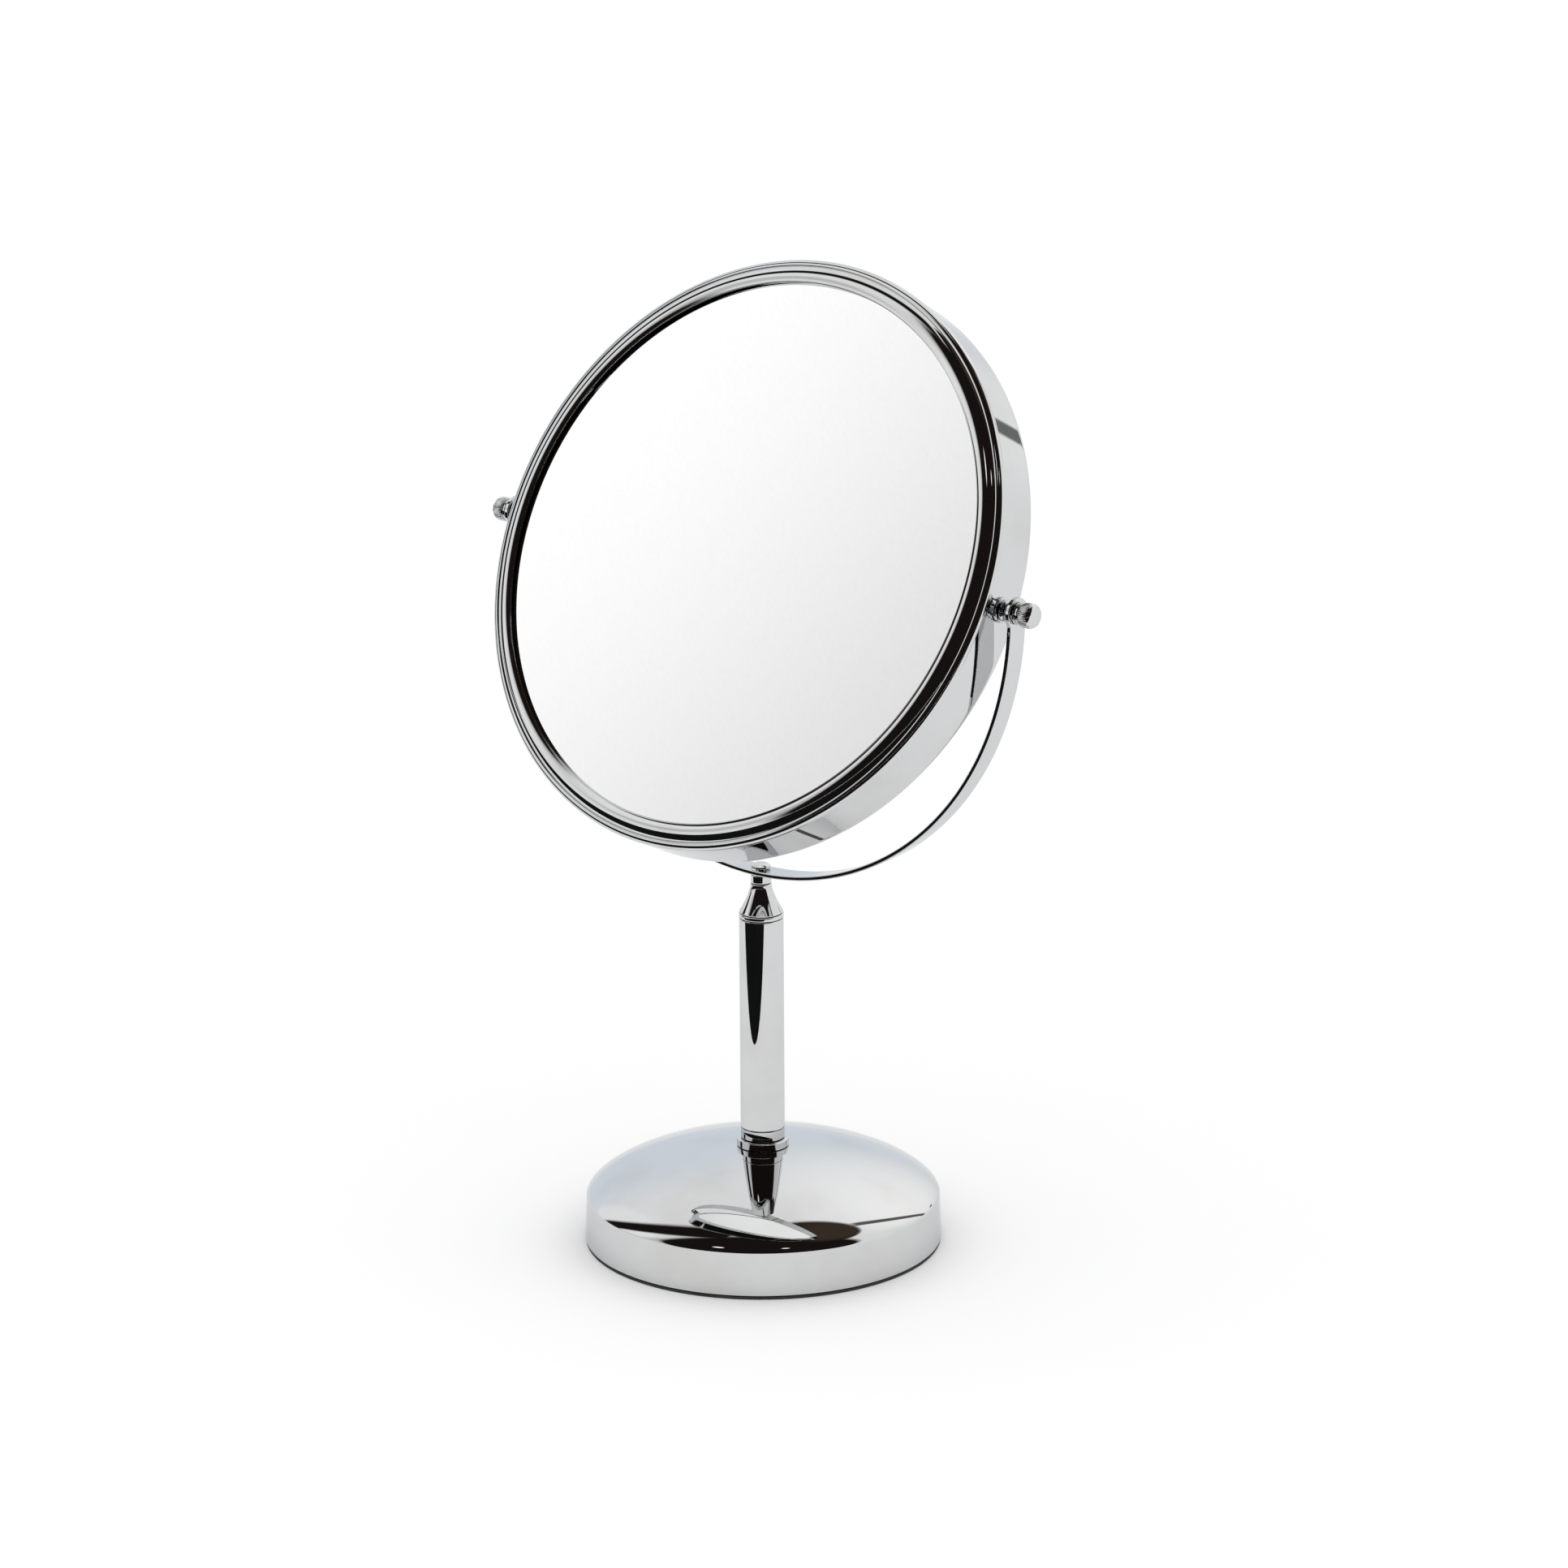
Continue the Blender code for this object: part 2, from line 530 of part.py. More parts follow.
def make_trunnion(side, turn, chrome, steel, pivot):
    """Stud, boss, two spacers, washer and thumb knob on one side. turn is +1 for +X and -1 for -X."""
    hole = STUD_RADIUS + BORE

    def place(item):
        item.rotation_euler = (0.0, turn * 0.5 * math.pi, 0.0)
        return item

    boss_top = BOSS_FOOT + BOSS_LENGTH
    place(turned("boss_" + side, ring(hole, BOSS_RADIUS, BOSS_FOOT, boss_top, EDGE), COARSE, chrome, pivot))
    for name, foot in (("inner_spacer_", SPACER_FOOT), ("outer_spacer_", SECOND_SPACER_FOOT)):
        top = foot + SPACER_LENGTH
        shoulder = SPACER_RADIUS - 0.5 * EDGE
        outline = [(hole, foot), (shoulder - 1.5 * EDGE, foot), (shoulder, foot + EDGE)]
        outline += [(SPACER_RADIUS, 0.5 * (foot + top)), (shoulder, top - EDGE)]
        outline += [(shoulder - 1.5 * EDGE, top), (hole, top)]
        place(turned(name + side, outline, COARSE, chrome, pivot, sharp_degrees=50.0))
    washer_top = WASHER_FOOT + WASHER_THICKNESS
    outline = ring(hole, WASHER_RADIUS, WASHER_FOOT, washer_top)
    place(turned("washer_" + side, outline, COARSE, steel, pivot))
    stud_foot = SHELL_BORE - SEAT - CORE_WALL + STUD_SHY
    stud_top = KNOB_FOOT + KNOB_LENGTH - KNOB_WALL - SEAT
    place(turned("stud_" + side, disc(STUD_RADIUS, stud_foot, stud_top), COARSE, steel, pivot))
    knob = place(turned("knob_" + side, knob_outline(), MEDIUM, chrome, pivot, sharp_degrees=28.0))
    knob.location = (turn * KNOB_FOOT, 0.0, 0.0)


def main():
    clear_scene()
    chrome = make_material("chrome", (0.78, 0.79, 0.8), 1.0, 0.06)
    mirror = make_material("mirror_glass", (0.88, 0.9, 0.9), 1.0, 0.02)
    steel = make_material("steel", (0.55, 0.55, 0.56), 1.0, 0.3)
    iron = make_material("cast_iron", (0.12, 0.12, 0.125), 1.0, 0.55)
    rubber = make_material("rubber", (0.02, 0.02, 0.02), 0.0, 0.8)
    plastic = make_material("plastic", (0.08, 0.08, 0.08), 0.0, 0.5)
    board = make_material("backing_board", (0.35, 0.3, 0.24), 0.0, 0.9)
    make_base_parts(chrome, iron, rubber)
    make_tie_rod(steel)
    make_collar(chrome)
    make_ferrule(chrome)
    make_tubes(chrome, plastic)
    make_guide_ring(chrome)
    make_upper_cone(chrome)
    make_neck(chrome, steel)
    pivot = make_head_pivot()
    reach = KNOB_FOOT + KNOB_LENGTH
    cross_cutter = make_cutter("trunnion_cutter", STUD_RADIUS + BORE, -reach, reach, chrome, pivot)
    cross_cutter.rotation_euler = (0.0, 0.5 * math.pi, 0.0)
    make_yoke(chrome, cross_cutter)
    make_head_shell(chrome, pivot, cross_cutter)
    make_front_bezel(chrome, pivot)
    make_glasses(mirror, board, plastic, pivot, cross_cutter)
    make_trunnion("right", 1.0, chrome, steel, pivot)
    make_trunnion("left", -1.0, chrome, steel, pivot)


main()
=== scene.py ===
# %% [markdown]
# # An extendable shaving mirror, finished for the eye
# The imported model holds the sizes, the joints and where every piece sits. This lesson gives the same
# pieces fine round surfaces and real finishes, then lights them like a product on a white table.
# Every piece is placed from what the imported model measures, so nothing is fitted by eye.

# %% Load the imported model
import json
import math
import bmesh
import bpy
from mathutils import Matrix, Vector


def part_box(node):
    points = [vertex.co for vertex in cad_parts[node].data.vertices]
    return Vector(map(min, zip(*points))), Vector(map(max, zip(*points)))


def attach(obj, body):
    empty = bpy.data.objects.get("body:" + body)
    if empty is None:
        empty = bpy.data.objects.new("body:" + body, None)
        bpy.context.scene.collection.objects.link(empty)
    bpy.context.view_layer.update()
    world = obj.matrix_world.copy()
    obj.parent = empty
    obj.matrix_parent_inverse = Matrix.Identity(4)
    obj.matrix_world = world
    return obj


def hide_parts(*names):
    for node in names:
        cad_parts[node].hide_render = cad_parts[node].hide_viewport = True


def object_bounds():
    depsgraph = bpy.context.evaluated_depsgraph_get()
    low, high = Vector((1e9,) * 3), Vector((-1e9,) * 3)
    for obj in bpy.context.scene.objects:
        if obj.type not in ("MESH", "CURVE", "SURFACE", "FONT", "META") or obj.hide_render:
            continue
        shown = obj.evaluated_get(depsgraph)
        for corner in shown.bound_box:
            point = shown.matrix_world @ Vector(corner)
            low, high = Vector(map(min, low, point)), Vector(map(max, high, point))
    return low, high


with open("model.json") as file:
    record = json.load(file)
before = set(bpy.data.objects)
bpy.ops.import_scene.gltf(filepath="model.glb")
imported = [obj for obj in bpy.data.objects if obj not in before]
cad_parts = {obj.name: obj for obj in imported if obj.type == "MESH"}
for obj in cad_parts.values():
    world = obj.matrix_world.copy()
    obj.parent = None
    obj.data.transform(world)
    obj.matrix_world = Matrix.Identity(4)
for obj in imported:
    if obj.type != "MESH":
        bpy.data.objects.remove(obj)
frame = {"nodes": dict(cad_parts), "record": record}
cad_low, cad_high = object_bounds()
MM = 0.001
print("model in mm:", [round(side / MM, 1) for side in cad_high - cad_low])

# %% [markdown]
# ## Two frames to work in
# The base and the column are turned about the upright axis. The mirror head is turned about its own
# axis, which leans back from level and points out of the glass. A matrix for each lets one helper make
# both kinds of piece. The tilt axis is at the height of the studs that the head hangs on.

# %% The upright frame, the head's frame and the two trunnions
LEAN = math.radians(28.5)
stud_low, stud_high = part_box("stud_right")
AXIS_HEIGHT = 0.5 * (stud_low.z + stud_high.z)
UPRIGHT = Matrix.Identity(4)
HEAD = Matrix.Translation((0.0, 0.0, AXIS_HEIGHT)) @ Matrix.Rotation(0.5 * math.pi - LEAN, 4, "X")
RIGHT = HEAD @ Matrix.Rotation(0.5 * math.pi, 4, "Y")
LEFT = HEAD @ Matrix.Rotation(-0.5 * math.pi, 4, "Y")
print("tilt axis at", round(AXIS_HEIGHT / MM, 1), "mm")


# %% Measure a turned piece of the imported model
class Turned:
    """Bore, radius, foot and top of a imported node, about the Z axis of the frame it is turned in."""

    def __init__(self, node, place):
        back = place.inverted()
        points = [back @ v.co for v in frame["nodes"][node].data.vertices]
        radii = [math.hypot(p.x, p.y) for p in points]
        heights = [p.z for p in points]
        self.bore, self.radius = min(radii), max(radii)
        self.foot, self.top = min(heights), max(heights)


GAP = 0.3 * MM  # between neighbours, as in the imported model

# %% [markdown]
# ## One helper for every corner
# A machined or pressed edge is never quite sharp: a thin bright line runs along it. Each outline here
# lists its corners, with a radius for those that are rounded. The helper swaps such a corner for a short
# curve, and adds a point just before and after it, so that the flats on both sides still shade flat.


# %% Round the corners of an outline
def softened(corners, steps=4):
    """Points of a closed outline. A corner is (radius, height) or (radius, height, rounding)."""
    points = []
    for i, corner in enumerate(corners):
        here = Vector(corner[:2])
        if len(corner) == 2:
            points.append(here)
            continue
        before = Vector(corners[i - 1][:2]) - here
        after = Vector(corners[(i + 1) % len(corners)][:2]) - here
        cut = min(corner[2], 0.45 * before.length, 0.45 * after.length)
        start, end = here + before.normalized() * cut, here + after.normalized() * cut
        if before.length > 1.3 * cut / 0.45:
            points.append(here + before.normalized() * 1.2 * cut)
        for k in range(steps + 1):
            t = k / steps
            points.append(start * (1.0 - t) ** 2 + here * 2.0 * t * (1.0 - t) + end * t**2)
        if after.length > 1.3 * cut / 0.45:
            points.append(here + after.normalized() * 1.2 * cut)
    return [tuple(point) for point in points]


# %% [markdown]
# ## Turning
# A lathe makes nearly every piece of this mirror. Blender's Screw modifier would do, but a knurled grip
# needs a radius that changes round the turn, so the rings of points are written out here. An outline
# point may carry a third number, the depth of the knurling cut there.


# %% Turn an outline into a closed mesh
def turned(name, outline, steps, place=UPRIGHT, teeth=0, sharp_degrees=40.0):
    shape = bmesh.new()
    rows = []
    for radius, height, *knurl in outline:
        if radius < 1e-7:
            rows.append([shape.verts.new((0.0, 0.0, height))])
            continue
        row = []
        for i in range(steps):
            angle = 2.0 * math.pi * i / steps
            reach = radius - (knurl[0] * (0.5 - 0.5 * math.cos(teeth * angle)) if knurl else 0.0)
            row.append(shape.verts.new((reach * math.cos(angle), reach * math.sin(angle), height)))
        rows.append(row)
    for lower, upper in zip(rows, rows[1:] + rows[:1]):
        for i in range(max(len(lower), len(upper))):
            j = i + 1
            around = [lower[i % len(lower)], lower[j % len(lower)], upper[j % len(upper)],
                      upper[i % len(upper)]]
            around = list(dict.fromkeys(around))
            if len(around) > 2:
                shape.faces.new(around)
    bmesh.ops.recalc_face_normals(shape, faces=shape.faces)
    return add_piece(name, shape, place, sharp_degrees)


def add_piece(name, shape, place, sharp_degrees):
    mesh = bpy.data.meshes.new(name)
    shape.to_mesh(mesh)
    shape.free()
    mesh.transform(place)
    mesh.shade_smooth()
    mesh.set_sharp_from_angle(angle=math.radians(sharp_degrees))
    piece = bpy.data.objects.new(name, mesh)
    bpy.context.scene.collection.objects.link(piece)
    return piece


# %% [markdown]
# ## Handing a piece over
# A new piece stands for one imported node, moves with that node's body and keeps its material slot. The
# slot comes from the record, so a piece can't end up with another finish than the one it was given.

# %% Tie a new piece to the node it stands for
BODY_OF = {n: body for body, nodes in frame["record"]["behaviour"]["bodies"].items() for n in nodes}
SLOT_OF = {part["node"]: part["material_slot"] for part in frame["record"]["subparts"]}
finishes = {}  # material slot -> Blender material


def stands_for(piece, node):
    piece.data.materials.clear()
    piece.data.materials.append(finishes[SLOT_OF[node]])
    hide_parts(node)
    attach(piece, BODY_OF[node])
    return piece


# %% [markdown]
# ## Small helpers for shader nodes
# Every finish below is a Principled shader with a few texture nodes in front of it. Three helpers keep
# that readable: one makes the material, one adds a noise in the piece's own space, and one stretches a
# noise over the values wanted. A value that is the same all over goes straight onto the shader.


# %% Make a material and put textures in front of it
def make_finish(slot, colour, metallic, roughness):
    material = bpy.data.materials.new(slot + "_finish")
    material.use_nodes = True
    shader = material.node_tree.nodes["Principled BSDF"]
    shader.inputs["Base Color"].default_value = (*colour, 1.0)
    shader.inputs["Metallic"].default_value = metallic
    shader.inputs["Roughness"].default_value = roughness
    finishes[slot] = material
    return material.node_tree, shader


def noise(tree, scale, detail=3.0, stretch=(1.0, 1.0, 1.0), turn=(0.0, 0.0, 0.0)):
    """stretch (4, 1, 1) draws the grain out fourfold along X, before turn tilts it."""
    place = tree.nodes.new("ShaderNodeTexCoord")
    mapping = tree.nodes.new("ShaderNodeMapping")
    mapping.vector_type = "TEXTURE"
    mapping.inputs["Scale"].default_value = stretch
    mapping.inputs["Rotation"].default_value = turn
    texture = tree.nodes.new("ShaderNodeTexNoise")
    texture.inputs["Scale"].default_value = scale
    texture.inputs["Detail"].default_value = detail
    tree.links.new(place.outputs["Object"], mapping.inputs["Vector"])
    tree.links.new(mapping.outputs["Vector"], texture.inputs["Vector"])
    return texture.outputs["Fac"]


def stretched(tree, value, low, high, start=0.3, end=0.7):
    """Spreads value, from start to end, over low to high."""
    spread = tree.nodes.new("ShaderNodeMapRange")
    spread.interpolation_type = "SMOOTHSTEP"
    for socket, number in zip(list(spread.inputs)[1:5], (start, end, low, high)):
        socket.default_value = number
    tree.links.new(value, spread.inputs[0])
    return spread.outputs[0]


# %% Blend two colours, and raise a surface
def blended(tree, share, first, second):
    """first where share is 0, second where it is 1. Each is a colour or a socket."""
    mix = tree.nodes.new("ShaderNodeMix")
    mix.data_type = "RGBA"
    tree.links.new(share, mix.inputs[0])
    for socket, colour in ((mix.inputs[6], first), (mix.inputs[7], second)):
        if isinstance(colour, bpy.types.NodeSocket):
            tree.links.new(colour, socket)
        else:
            socket.default_value = (*colour, 1.0)
    return mix.outputs[2]


def raised(tree, shader, height, distance, strength=1.0):
    bump = tree.nodes.new("ShaderNodeBump")
    bump.inputs["Distance"].default_value = distance
    bump.inputs["Strength"].default_value = strength
    tree.links.new(height, bump.inputs["Height"])
    tree.links.new(bump.outputs["Normal"], shader.inputs["Normal"])


# %% [markdown]
# ## Chrome
# Bright chrome is a bluish-white metal plated over polished steel. It is nearly a mirror, but not quite:
# hands leave a faint haze, the polishing wheel leaves hair-thin marks, and the plating swells by a few
# thousandths of a millimetre, which makes reflected edges waver. Haze changes the colour a little, the
# marks change the roughness, and the waver is a very shallow bump.

# %% The chrome finish
tree, shader = make_finish("chrome", (0.62, 0.625, 0.63), 1.0, 0.03)
shader.inputs["Specular Tint"].default_value = (0.85, 0.86, 0.87, 1.0)  # duller at a glancing angle
haze = noise(tree, 38.0, 6.0)
marks = noise(tree, 900.0, 2.0, stretch=(1.0, 1.0, 8.0), turn=(0.3, 0.2, 0.0))
tree.links.new(blended(tree, stretched(tree, haze, 0.0, 1.0, 0.42, 0.72), (0.635, 0.64, 0.645),
                       (0.6, 0.6, 0.595)), shader.inputs["Base Color"])
tree.links.new(stretched(tree, marks, 0.008, 0.03, 0.35, 0.75), shader.inputs["Roughness"])
raised(tree, shader, noise(tree, 130.0, 2.0), 0.003 * MM)
print("chrome: haze, polishing marks and a waver of 0.003 mm")

# %% [markdown]
# ## Mirror glass
# The silver lies behind the glass, so what shows is a clean metal reflection with a slight green cast.
# Wiping leaves faint streaks that all run one way. A noise that is squeezed along one direction gives
# them, and it changes only how sharp the reflection is and, barely, how bright.

# %% The mirror glass finish
tree, shader = make_finish("mirror_glass", (0.92, 0.92, 0.92), 1.0, 0.02)
WIPING = (0.0, 0.8, 0.0)
streaks = noise(tree, 620.0, 3.0, stretch=(5.0, 1.0, 1.0), turn=WIPING)
smears = noise(tree, 30.0, 3.0, stretch=(2.5, 1.0, 1.0), turn=WIPING)
tree.links.new(blended(tree, stretched(tree, streaks, 0.0, 1.0, 0.3, 0.8), (0.93, 0.931, 0.93),
                       (0.912, 0.914, 0.913)), shader.inputs["Base Color"])
tree.links.new(stretched(tree, smears, 0.012, 0.05, 0.3, 0.8), shader.inputs["Roughness"])
raised(tree, shader, streaks, 0.001 * MM)
print("mirror glass: wiping streaks along one direction")

# %% [markdown]
# ## Plated steel
# The screws, studs and washers are nickel plated: a slightly warmer and duller metal than chrome, with
# fine lines from the tool that turned them.

# %% The steel finish
tree, shader = make_finish("steel", (0.6, 0.595, 0.58), 1.0, 0.12)
lines = noise(tree, 700.0, 2.0, stretch=(10.0, 1.0, 1.0))
tree.links.new(blended(tree, lines, (0.56, 0.555, 0.54), (0.64, 0.635, 0.62)), shader.inputs["Base Color"])
tree.links.new(stretched(tree, lines, 0.08, 0.18), shader.inputs["Roughness"])
raised(tree, shader, lines, 0.004 * MM)

# %% [markdown]
# ## Cast iron, rubber, plastic and board
# These are mostly out of sight. The weight plate is a raw casting with a grainy skin. The pad under the
# base is matt black rubber, the slide ring and the core are moulded, and the board behind the front
# glass is pressed wood fibre. Each gets its own grain, at its own scale.


# %% The four dull finishes
def dull_finish(slot, dark, light, roughness, metallic, scale, detail, depth):
    tree, shader = make_finish(slot, dark, metallic, roughness)
    grain = noise(tree, scale, detail)
    tree.links.new(blended(tree, stretched(tree, grain, 0.0, 1.0), dark, light), shader.inputs["Base Color"])
    tree.links.new(stretched(tree, grain, roughness - 0.08, roughness + 0.08), shader.inputs["Roughness"])
    raised(tree, shader, grain, depth)


dull_finish("cast_iron", (0.06, 0.06, 0.063), (0.16, 0.155, 0.15), 0.6, 1.0, 320.0, 8.0, 0.25 * MM)
dull_finish("rubber", (0.014, 0.014, 0.015), (0.03, 0.03, 0.03), 0.75, 0.0, 900.0, 5.0, 0.05 * MM)
dull_finish("plastic", (0.06, 0.06, 0.06), (0.1, 0.1, 0.1), 0.45, 0.0, 1200.0, 3.0, 0.02 * MM)
dull_finish("backing_board", (0.26, 0.2, 0.14), (0.46, 0.38, 0.28), 0.88, 0.0, 420.0, 9.0, 0.08 * MM)
print("finishes:", ", ".join(finishes))

# %% [markdown]
# ## The domed base
# The cover is one spinning: a nearly upright wall, then a dome that is almost level in the middle and
# turns down fast at the shoulder. What a polished dome reflects depends on its slope, so its curve is
# worked out from a formula and sampled most densely where it turns. The inside follows the outside at
# the thickness of the sheet.

# %% Turn the base cover
cover = Turned("base_cover", UPRIGHT)
WALL_TOP = 20.0 * MM
RIM = cover.radius - 0.7 * MM  # the wall leans in a little
DOME_SEAT = 11.6 * MM
SHEET = 1.4 * MM


def dome(rim, wall_top, points):
    """From the wall up to the flat seat under the column."""
    seat, rise = DOME_SEAT / rim, cover.top - WALL_TOP
    run = []
    for i in range(points):
        share = seat + (1.0 - seat) * math.cos(0.5 * math.pi * i / points)
        fall = (share**1.9 - seat**1.9) / (1.0 - seat**1.9)
        run.append((share * rim, wall_top + rise * max(1.0 - fall, 0.0) ** 0.68))
    return run + [(DOME_SEAT, wall_top + rise)]


outline = [(cover.radius - SHEET, cover.foot), (cover.radius - 0.3 * MM, cover.foot)]
outline += [(cover.radius, cover.foot + 0.3 * MM), (cover.radius - 0.02 * MM, cover.foot + 0.7 * MM)]
outline += dome(RIM, WALL_TOP, 72) + [(cover.bore, cover.top), (cover.bore, cover.top - SHEET)]
outline += list(reversed(dome(RIM - SHEET, WALL_TOP - SHEET, 16)))
base_dome = stands_for(turned("base_dome", outline, 256), "base_cover")
print("base dome:", len(base_dome.data.polygons), "faces")

# %% [markdown]
# ## The foot pad
# A thin rubber disc keeps the heavy base from sliding and shows only as a black line at the bottom. Its
# rim is rounded, and its underside has raised rings that grip.

# %% Turn the foot pad
pad = Turned("base_pad", UPRIGHT)
outline = [(0.0, pad.foot + 0.25 * MM)]
RING_PITCH = pad.radius / 9.5
for i in range(1, 9):
    outline += softened([(i * RING_PITCH - 1.2 * MM, pad.foot + 0.25 * MM),
                         (i * RING_PITCH - 0.8 * MM, pad.foot),
                         (i * RING_PITCH + 0.8 * MM, pad.foot),
                         (i * RING_PITCH + 1.2 * MM, pad.foot + 0.25 * MM)])
outline += [(pad.radius - 3.0 * MM, pad.foot + 0.25 * MM), (pad.radius - 2.6 * MM, pad.foot)]
outline += softened([(pad.radius - 2.0 * MM, pad.foot), (pad.radius, pad.foot, 0.4 * MM),
                     (pad.radius, pad.top, 0.3 * MM), (pad.radius - 2.0 * MM, pad.top)])
stands_for(turned("foot_pad", outline + [(0.0, pad.top)], 192), "base_pad")

# %% [markdown]
# ## Collar and column foot
# The column stands on a low collar with a rounded upper lip. Above it a slightly narrower drum ends in
# a spigot that the tube is pushed over.

# %% Turn the collar and the column foot
collar = Turned("collar", UPRIGHT)
tube = Turned("outer_tube", UPRIGHT)
foot = Turned("foot_ferrule", UPRIGHT)
outline = softened([(collar.bore, collar.foot), (collar.radius, collar.foot, 0.15 * MM),
                    (collar.radius, collar.top, 0.5 * MM), (collar.bore, collar.top)], 8)
stands_for(turned("column_collar", outline, 96), "collar")
spigot = tube.bore - GAP
shoulder = tube.foot - GAP
outline = softened([(foot.bore, foot.foot), (foot.radius, foot.foot, 0.2 * MM),
                    (foot.radius, shoulder, 0.1 * MM),
                    (spigot, shoulder), (spigot, foot.top, 0.4 * MM), (foot.bore, foot.top)])
stands_for(turned("column_foot", outline, 96), "foot_ferrule")
print("column foot:", round(2.0 * foot.radius / MM, 1), "mm across")

# %% [markdown]
# ## The two tubes
# Plain drawn tube, the smaller one sliding in the larger. Their ends are rolled over slightly. The inner
# one is hidden while the column is in, and shows its full polish when the column is pulled out.

# %% Turn the tubes
for name, node in (("column_tube", "outer_tube"), ("sliding_tube", "inner_tube")):
    size = Turned(node, UPRIGHT)
    outline = softened([(size.bore, size.foot, 0.2 * MM), (size.radius, size.foot, 0.3 * MM),
                        (size.radius, size.top, 0.3 * MM), (size.bore, size.top, 0.2 * MM)])
    stands_for(turned(name, outline, 128), node)
    print(name, "is", round((size.top - size.foot) / MM, 1), "mm long")

# %% [markdown]
# ## Guide ring and cone
# A ring with a rounded rim closes the outer tube. Its long sleeve, inside the tube, guides the sliding
# one. On top sits a hollow-sided cone, turned from bar. A power curve gives the hollow: wide and flat
# at the foot, and almost straight below the tip.

# %% Turn the guide ring and the cone
guide = Turned("guide_ring", UPRIGHT)
guide_foot = tube.top + GAP
outline = softened([(guide.bore, guide.foot), (tube.bore - GAP, guide.foot), (tube.bore - GAP, guide_foot),
                    (guide.radius, guide_foot, 0.6 * MM), (guide.radius, guide.top, 0.6 * MM),
                    (guide.bore, guide.top)], 8)
stands_for(turned("guide_bead", outline, 96), "guide_ring")
cone = Turned("upper_cone", UPRIGHT)
inner = Turned("inner_tube", UPRIGHT)
CONE_TIP = 4.5 * MM
cone_foot = inner.top + GAP
slope = [(cone.radius, cone_foot + 0.4 * MM)]
for i in range(1, 25):
    share = i / 24
    reach = CONE_TIP + (cone.radius - CONE_TIP) * (1.0 - share) ** 1.42
    slope.append((reach, cone_foot + 0.4 * MM + share * (cone.top - cone_foot - 1.4 * MM)))
spigot = inner.bore - GAP
outline = [(cone.bore, cone.foot), (spigot, cone.foot), (spigot, cone_foot),
           (cone.radius - 0.4 * MM, cone_foot)]
outline += [(cone.radius - 0.1 * MM, cone_foot + 0.1 * MM)] + slope
outline += softened([(CONE_TIP, cone.top - 0.8 * MM), (CONE_TIP, cone.top, 0.5 * MM), (cone.bore, cone.top)])
stands_for(turned("column_cone", outline, 96), "upper_cone")
print("cone narrows from", round(cone.radius / MM, 1), "to", round(CONE_TIP / MM, 1), "mm")

# %% [markdown]
# ## Bush and swivel screw
# The yoke turns on a screw whose smooth pan head sits inside its lowest point. A short bush keeps the
# yoke clear of the cone.

# %% Turn the bush and the screw
bush = Turned("neck_bush", UPRIGHT)
outline = softened([(bush.bore, bush.foot), (bush.radius, bush.foot, 0.5 * MM),
                    (bush.radius, bush.top, 0.5 * MM),
                    (bush.bore, bush.top)])
stands_for(turned("column_bush", outline, 64), "neck_bush")
screw = Turned("yoke_screw", UPRIGHT)
SHANK = 2.0 * MM
head_foot = screw.top - 1.9 * MM
outline = [(0.0, screw.foot), (0.6 * SHANK, screw.foot), (SHANK, screw.foot + 0.8 * MM), (SHANK, head_foot)]
outline += softened([(screw.radius - 0.4 * MM, head_foot), (screw.radius, head_foot, 0.2 * MM),
                     (screw.radius, head_foot + 0.9 * MM, 0.4 * MM),
                     (0.72 * screw.radius, screw.top - 0.2 * MM, 0.9 * MM),
                     (0.3 * screw.radius, screw.top)], 5)
stands_for(turned("swivel_screw", outline + [(0.0, screw.top)], 64), "yoke_screw")
print("screw head:", round(2.0 * screw.radius / MM, 1), "mm across")

# %% [markdown]
# ## Drilling
# A hole through a piece is easiest as a Boolean: a plain rod is taken away from it. The result is baked
# at once, so the rod can be thrown away and no modifier is left to slow the scene down.


# %% Cut one piece with others
def drilled(piece, *cutters):
    for cutter in cutters:
        change = piece.modifiers.new(cutter.name, "BOOLEAN")
        change.operation = "DIFFERENCE"
        change.solver = "EXACT"
        change.object = cutter
    seen = piece.evaluated_get(bpy.context.evaluated_depsgraph_get())
    mesh = bpy.data.meshes.new_from_object(seen)
    piece.modifiers.clear()
    piece.data = mesh
    for cutter in cutters:
        bpy.data.objects.remove(cutter, do_unlink=True)
    return piece


# %% [markdown]
# ## The yoke
# A flat strip of spring steel, bent to half a circle and rounded off at both ends, where the studs pass
# through. It is made as a run of cross-sections. Each one is a rectangle with eased corners, and the
# run is closest together at the round ends. The holes are cut afterwards.

# %% Sizes of the yoke
knob = Turned("knob_right", RIGHT)
washer = Turned("washer_right", RIGHT)
spacer = Turned("outer_spacer_right", RIGHT)
YOKE_INSIDE = spacer.top + GAP
YOKE_OUTSIDE = washer.foot - GAP
yoke_low, yoke_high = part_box("yoke")
EYE = yoke_high.z - AXIS_HEIGHT
HALF_WIDTH = 4.9 * MM
print("yoke strip:", round((YOKE_OUTSIDE - YOKE_INSIDE) / MM, 1), "mm thick")


